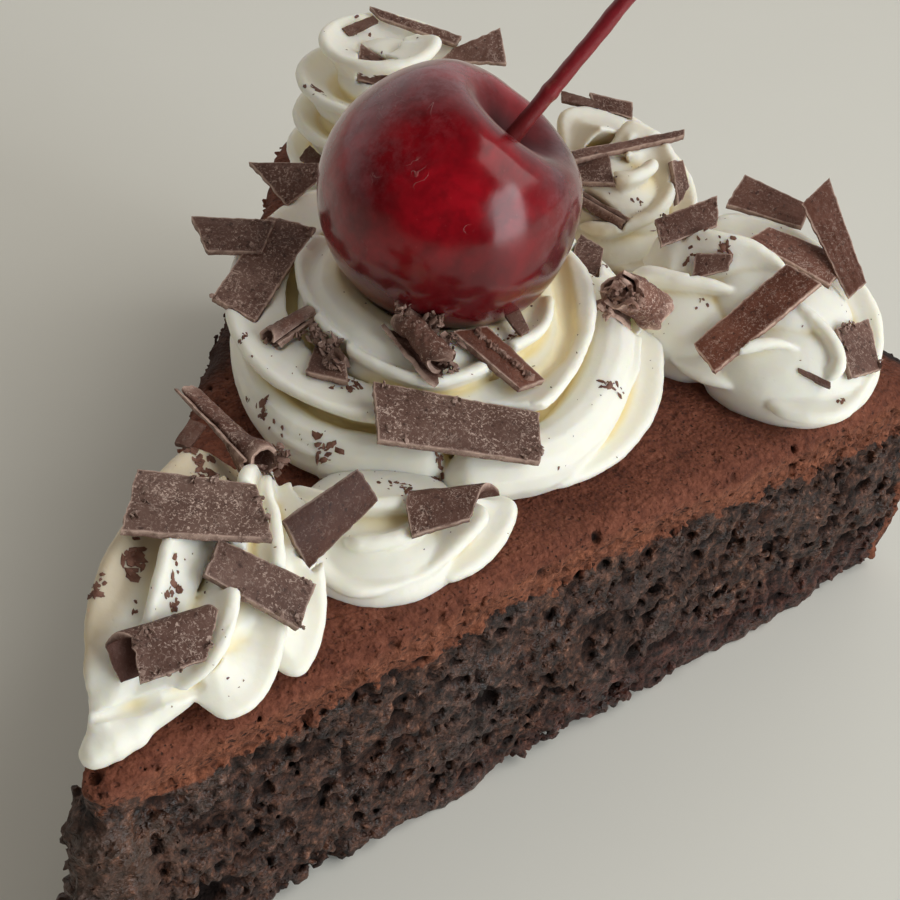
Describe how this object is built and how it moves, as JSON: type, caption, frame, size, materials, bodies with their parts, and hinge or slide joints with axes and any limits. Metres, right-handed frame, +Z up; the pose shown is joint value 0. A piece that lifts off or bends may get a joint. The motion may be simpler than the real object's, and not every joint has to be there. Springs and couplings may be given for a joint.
{
  "type": "black forest cake slice",
  "caption": "Wedge of dark chocolate sponge topped with piped whipped cream, a sweet cherry on its stem and dark chocolate shavings.",
  "frame": {"origin": "middle of the overall box in plan, at the flat underside", "axes": "+X from the slice's point towards the outer rim, +Y to the left seen from the point, +Z up"},
  "size_m": [0.1094, 0.0853, 0.0921],
  "materials": {
    "chocolate_sponge": "matte, porous, moist dark crumb with a browner crust on top",
    "whipped_cream": "soft satin ivory with smooth piped ridges",
    "cherry_skin": "glossy dark red skin with small scars",
    "cherry_stem": "satin dark red",
    "dark_chocolate": "matte with pale scraped streaks and crumbs"
  },
  "bodies": {
    "root": {"cherry": "cherry_skin", "cherry_stem": "cherry_stem", "choc_chip_left_top": "dark_chocolate", "choc_chip_middle_far": "dark_chocolate", "choc_chip_middle_near": "dark_chocolate", "choc_chip_middle_right": "dark_chocolate", "choc_chip_right_edge": "dark_chocolate", "choc_chip_right_small": "dark_chocolate", "choc_chip_rose_left": "dark_chocolate", "choc_chip_rose_right": "dark_chocolate", "choc_curl_cherry_front": "dark_chocolate", "choc_curl_left_long": "dark_chocolate", "choc_curl_left_small": "dark_chocolate", "choc_curl_middle_small": "dark_chocolate", "choc_curl_rose_right": "dark_chocolate", "choc_fold_front_right": "dark_chocolate", "choc_fold_tip_left": "dark_chocolate", "choc_slab_cherry_front": "dark_chocolate", "choc_slab_front_tilted": "dark_chocolate", "choc_slab_left_lower": "dark_chocolate", "choc_slab_left_top": "dark_chocolate", "choc_slab_left_upper": "dark_chocolate", "choc_slab_right_across": "dark_chocolate", "choc_slab_right_far": "dark_chocolate", "choc_slab_right_inner": "dark_chocolate", "choc_slab_right_long": "dark_chocolate", "choc_slab_right_upright": "dark_chocolate", "choc_slab_rose_large": "dark_chocolate", "choc_slab_tip_long": "dark_chocolate", "choc_slab_tip_right": "dark_chocolate", "choc_sliver_back_left": "dark_chocolate", "choc_sliver_left_top": "dark_chocolate", "choc_sliver_middle_long": "dark_chocolate", "cream_dollop_side": "whipped_cream", "cream_rosette_centre": "whipped_cream", "cream_rosette_left": "whipped_cream", "cream_rosette_middle": "whipped_cream", "cream_rosette_right": "whipped_cream", "cream_shell_front": "whipped_cream", "sponge": "chocolate_sponge"}
  },
  "joints": []
}
